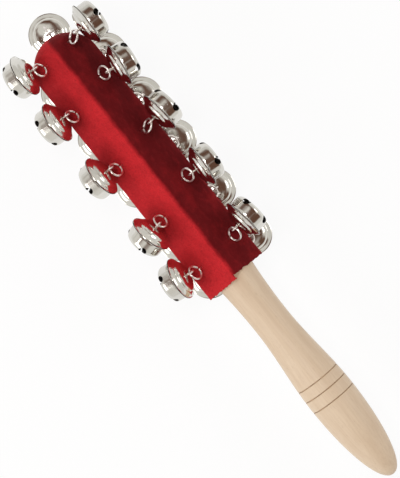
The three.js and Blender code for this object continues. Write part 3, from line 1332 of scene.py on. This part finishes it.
@dataclass
class Hangings:
    """All the eyes, bells and pellets, placed by the frame's own joints. Sizes in millimetres."""

    origin: Vector
    half: float = 12.0
    eye_ring: float = 3.2
    rows: dict[Face, Row] = field(default_factory=lambda: {
        Face.UPPER_LEFT: Row(4.4, 0.3, [
            Hang(-125.6, -1.3, 0, 62, 6), Hang(-100.6, 1.3, 0, 32, 12), Hang(-69.7, 0.6, 0, -14, 8),
            Hang(-39.6, -1.1, 0, 66, 12), Hang(-11.5, 1.8, 0, 35, 6)]),
        Face.UPPER_RIGHT: Row(4.4, 0.0, [
            Hang(-128.2, -2.6, -35, -2), Hang(-107.4, -1.7, 0, 52), Hang(-76.4, -1.1, -28, 22, -12),
            Hang(-48.3, -0.7, 0, 20), Hang(-14.1, -0.7, 0, 50)]),
        Face.LOWER_RIGHT: Row(9.9, 0.74, [Hang(x, 0.5, 0, 45) for x in (-117.4, -91.0, -65.6, -36.1, -9.0)]),
        Face.LOWER_LEFT: Row(4.4, 0.74, [Hang(x, 6, 0, 45) for x in (-116.0, -88.3, -60.0, -28.2, -5.5)]),
    })
    end_turn: float = 45.0

    def joint(self, name: str) -> dict:
        """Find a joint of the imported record.

        Args:
            name: The joint's name.

        Returns:
            The joint.
        """
        return next(j for j in frame["record"]["behaviour"]["joints"] if j["name"] == name)

    def bell_place(self, label: str, hand: float, lies: bool) -> Matrix:
        """Find where a bell hangs, from its hinge and its pellet's slide.

        Args:
            label: The row and number of the bell.
            hand: Which way down the face points.
            lies: Whether the bell lies on a face.

        Returns:
            The matrix that takes a bell hanging down -Z from the origin to its place.
        """
        hinge = self.joint(f"bell_{label}_swing")
        slide = Vector(self.joint(f"pellet_{label}_slide")["axis"])
        across = Vector(hinge["axis"]) * hand
        if lies:
            side = slide * -hand
            down = side.cross(across)
        else:
            down = -slide
            side = across.cross(down)
        turned = Matrix((across, side, -down)).transposed().to_4x4()
        return Matrix.Translation(Vector(hinge["pos_m"])) @ turned

    def eye_place(self, face: Face, row: Row, hang: Hang, label: str) -> Matrix:
        """Work out where an eye on a face stands, with its ring through the bell's loop.

        Args:
            face: The face.
            row: The face's row.
            hang: Its place on the face.
            label: The row and number of its bell.

        Returns:
            The eye's matrix.
        """
        lean = Matrix.Rotation(face.angle, 4, "X")
        spin = Matrix.Rotation(math.radians(hang.spin), 4, lean.to_3x3() @ Vector((0, 1, 0)))
        twist = Matrix.Rotation(-face.hand * math.radians(hang.twist), 4, "Y")
        middle = self.origin + lean @ (Vector((hang.x, self.half + row.rise, face.hand * hang.side)) * MM)
        link = Vector(self.joint(f"bell_{label}_swing")["pos_m"])
        arm = (middle - link).normalized() * (self.eye_ring - row.slack) * MM
        return Matrix.Translation(link + spin @ arm) @ spin @ lean @ twist

    def end_place(self) -> Matrix:
        """Work out where the eye in the head's end stands.

        Returns:
            The eye's matrix.
        """
        hinge = Vector(self.joint("bell_end_swing")["pos_m"])
        ring = hinge + Vector((0, 0, self.eye_ring * MM))
        turned = Matrix(((0, 0, -1), (-1, 0, 0), (0, 1, 0))).transposed().to_4x4()
        return Matrix.Translation(ring) @ turned

    def build(self, finishes: dict[str, bpy.types.Material]) -> None:
        """Copy the eyes, bells and pellets to their places and tie them to their bodies.

        Args:
            finishes: Materials by slot.
        """
        eye = ScrewEye().build()
        bell = Bell()
        shell, loop = bell.build()
        pellet = Pellet().build()
        bell.dress(shell, finishes["nickel"], finishes["seam"])
        for shape, slot in ((eye, "eye_wire"), (loop, "eye_wire"), (pellet, "steel_pellet")):
            Bench.coat(shape, finishes[slot])
        for face, row in self.rows.items():
            for i, hang in enumerate(row.hangs, 1):
                label = f"{face.label}_{i}"
                own = face is not Face.LOWER_LEFT
                self.eye(eye, label, self.eye_place(face, row, hang, label), own)
                lies = face in (Face.UPPER_LEFT, Face.UPPER_RIGHT)
                self.bell(shell, loop, label, self.bell_place(label, face.hand, lies), hang.turn)
                self.pellet(pellet, label)
        self.eye(eye, "end", self.end_place(), True)
        self.bell(shell, loop, "end", self.bell_place("end", 1.0, False), self.end_turn)
        self.pellet(pellet, "end")
        for shape in (eye, shell, loop, pellet):
            bpy.data.objects.remove(shape, do_unlink=True)

    def eye(self, source: bpy.types.Object, label: str, place: Matrix, own: bool) -> None:
        """Place one eye.

        Args:
            source: The eye's shape.
            label: The row and number.
            place: Its matrix.
            own: Whether the frame has a node for it alone.
        """
        piece = Bench.copy(source, f"eye_{label}", place)
        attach(piece, "stick")
        if own:
            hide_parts(f"screw_eye_{label}")
        log.info("eye %s placed", label)

    def bell(self, shell: bpy.types.Object, loop: bpy.types.Object, label: str, place: Matrix, turn: float
             ) -> None:
        """Place one bell.

        Args:
            shell: The shell's shape.
            loop: The loop's shape.
            label: The row and number.
            place: Its matrix.
            turn: Turn of the sound holes about its axis, in degrees.
        """
        body = Bench.copy(shell, f"jingle_{label}", place @ Matrix.Rotation(-math.radians(turn), 4, "Z"))
        wire = Bench.copy(loop, f"jingle_loop_{label}", place)
        Bench.join([body, wire])
        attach(body, f"bell_{label}")
        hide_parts(f"bell_{label}")
        log.info("bell %s placed", label)

    def pellet(self, source: bpy.types.Object, label: str) -> None:
        """Place one pellet in the middle of its node.

        Args:
            source: The pellet's shape.
            label: The row and number.
        """
        low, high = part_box(f"pellet_{label}")
        piece = Bench.copy(source, f"shot_{label}", Matrix.Translation((low + high) / 2))
        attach(piece, f"pellet_{label}")
        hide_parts(f"pellet_{label}")


@dataclass(frozen=True)
class SoftBox:
    """A lamp that faces the stick: place from the target and size in metres, power in watts."""

    name: str
    place: Triple
    size: Point
    power: float

    def hang(self, target: Vector) -> None:
        """Hang the lamp.

        Args:
            target: What it faces.
        """
        data = bpy.data.lights.new(self.name, "AREA")
        data.shape = "RECTANGLE"
        data.size, data.size_y = self.size
        data.energy = self.power
        lamp = bpy.data.objects.new(self.name, data)
        lamp.location = target + Vector(self.place)
        lamp.rotation_euler = (-Vector(self.place)).to_track_quat("-Z", "Y").to_euler()
        bpy.context.scene.collection.objects.link(lamp)


@dataclass
class Studio:
    """White floor, soft lamps and the camera over the stick. Sizes in metres."""

    target: Vector
    away: float = 0.835
    view_height: float = 0.2175
    turn: float = math.radians(51.38)
    centre: Point = (-0.0223, -0.0022)
    sensor: float = 24.0
    lamps: tuple[SoftBox, ...] = (
        SoftBox("key_box", (-0.1, -0.8, 0.5), (0.55, 0.45), 2.4),
        SoftBox("top_box", (-0.2, -0.1, 1.1), (0.45, 0.3), 4.2),
        SoftBox("side_box", (0.15, 0.75, 0.6), (0.4, 0.3), 0.9))
    floor_size: float = 4.0
    floor_drop: float = 0.0002
    paper: Colour = (0.95, 0.95, 0.95)
    paper_roughness: float = 0.9
    paper_glow: float = 0.9
    left_wall: Colour = (0.9, 0.89, 0.86)
    right_wall: Colour = (0.8, 0.79, 0.76)
    dark_ceiling: Colour = (0.15, 0.075, 0.05)
    pale_ceiling: Colour = (0.86, 0.84, 0.8)
    room_light: float = 0.95

    def build(self) -> None:
        """Set up the floor, the light and the camera."""
        self.floor()
        self.sky()
        for lamp in self.lamps:
            lamp.hang(self.target)
        self.camera()
        bpy.context.scene.view_settings.view_transform = "Standard"

    def floor(self) -> None:
        """Lay the white floor, which shows white to the camera and in the metal and keeps a faint shadow."""
        Bench.clear()
        bpy.ops.mesh.primitive_plane_add(size=self.floor_size, location=(0, 0, -self.floor_drop))
        floor = bpy.context.object
        floor.name = "studio_floor"
        material = bpy.data.materials.new("white_paper")
        material.use_nodes = True
        nodes = Nodes(material.node_tree)
        shader = nodes.first("BSDF_PRINCIPLED")
        shader.inputs["Base Color"].default_value = (*self.paper, 1)
        shader.inputs["Roughness"].default_value = self.paper_roughness
        glow = nodes.add("ShaderNodeEmission")
        glow.inputs["Strength"].default_value = 1.0
        path = nodes.add("ShaderNodeLightPath")
        seen = nodes.maths("MAXIMUM", path.outputs["Is Camera Ray"], path.outputs["Is Glossy Ray"])
        share = nodes.maths("MULTIPLY", seen, self.paper_glow)
        mix = nodes.add("ShaderNodeMixShader")
        nodes.link(share, mix.inputs[0])
        nodes.link(shader.outputs[0], mix.inputs[1])
        nodes.link(glow.outputs[0], mix.inputs[2])
        nodes.link(mix.outputs[0], nodes.first("OUTPUT_MATERIAL").inputs["Surface"])
        Bench.coat(floor, material)

    def sky(self) -> None:
        """Light the room softly from all round: bright walls under a ceiling of light and dark patches."""
        world = bpy.data.worlds.new("soft_room")
        world.use_nodes = True
        bpy.context.scene.world = world
        nodes = Nodes(world.node_tree)
        back = nodes.first("BACKGROUND")
        place = nodes.add("ShaderNodeTexCoord")
        parts = nodes.add("ShaderNodeSeparateXYZ")
        nodes.link(place.outputs["Generated"], parts.inputs[0])
        side = nodes.span(parts.outputs["Y"], -0.7, 0.7, 0.0, 1.0)
        walls = nodes.blend(side, self.left_wall, self.right_wall)
        clutter = nodes.noise(place.outputs["Generated"], 1.7, 1.0, 0.4)
        patches = nodes.span(clutter, 0.4, 0.54, 0.0, 1.0)
        ceiling = nodes.blend(patches, self.dark_ceiling, self.pale_ceiling)
        up = nodes.span(parts.outputs["Z"], 0.22, 0.42, 0.0, 1.0)
        nodes.link(nodes.blend(up, walls, ceiling), back.inputs["Color"])
        back.inputs["Strength"].default_value = self.room_light

    def camera(self) -> None:
        """Hang the camera straight over the stick, turned as in the photograph."""
        data = bpy.data.cameras.new("over_camera")
        data.sensor_fit = "VERTICAL"
        data.sensor_height = self.sensor
        data.lens = self.sensor * self.away / self.view_height
        camera = bpy.data.objects.new("over_camera", data)
        camera.location = self.target + Vector((*self.centre, self.away))
        camera.rotation_euler = (0, 0, self.turn)
        bpy.context.scene.collection.objects.link(camera)
        bpy.context.scene.camera = camera


def make_finishes(origin: Vector) -> dict[str, bpy.types.Material]:
    """Make every finish of the bell stick.

    Args:
        origin: The middle of the head's shoulder.

    Returns:
        Materials by slot.
    """
    fibre = Effects.fibre()
    handling = Effects.handling()
    red = (0.6, 0.023, 0.03)
    return {
        "pale_wood": PaleWood("pale_wood", (0.72, 0.575, 0.42), 0.45).make(fibre, handling),
        "scribed_line": ScribedLine("scribed_line", (0.33, 0.225, 0.14), 0.6).make(fibre),
        "red_velvet": Velvet("red_velvet", red, 0.95, ridge=origin.y, foot=origin.x).make(),
        "nickel": BrightPlate("bright_nickel", (0.72, 0.7, 0.65), 0.1, 1.0).make(handling),
        "eye_wire": BrightPlate("plated_wire", (0.86, 0.8, 0.76), 0.26, 1.0).make(handling),
        # Painted shade: a dark metal for the bell's inside and the seam of its rim.
        "seam": BrightPlate("seam_and_inside_shade", (0.1, 0.085, 0.075), 0.5, 1.0).make(handling),
        "steel_pellet": BrightPlate("tumbled_steel", (0.45, 0.45, 0.44), 0.35, 1.0, smudge=0.2).make(handling),
    }


def main() -> None:
    """Build the bell stick's pieces in order and dress them."""
    logging.basicConfig(level=logging.INFO, format="%(message)s")
    low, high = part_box("velvet_sleeve")
    origin = Vector((high.x, (low.y + high.y) / 2, (low.z + high.z) / 2))
    finishes = make_finishes(origin)
    stick_maker = Stick(origin)
    stick = stick_maker.build()
    stick_maker.dress(stick, finishes["pale_wood"], finishes["scribed_line"])
    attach(stick, "stick")
    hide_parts("wooden_stick")
    log.info("stick: %d faces", len(stick.data.polygons))
    sleeve = VelvetSleeve(origin).build()
    Bench.coat(sleeve, finishes["red_velvet"])
    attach(sleeve, "stick")
    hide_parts("velvet_sleeve")
    log.info("velvet: %d faces", len(sleeve.data.polygons))
    Hangings(origin).build(finishes)
    Studio(origin).build()
    Bench.clear()


if __name__ == "__main__":
    main()
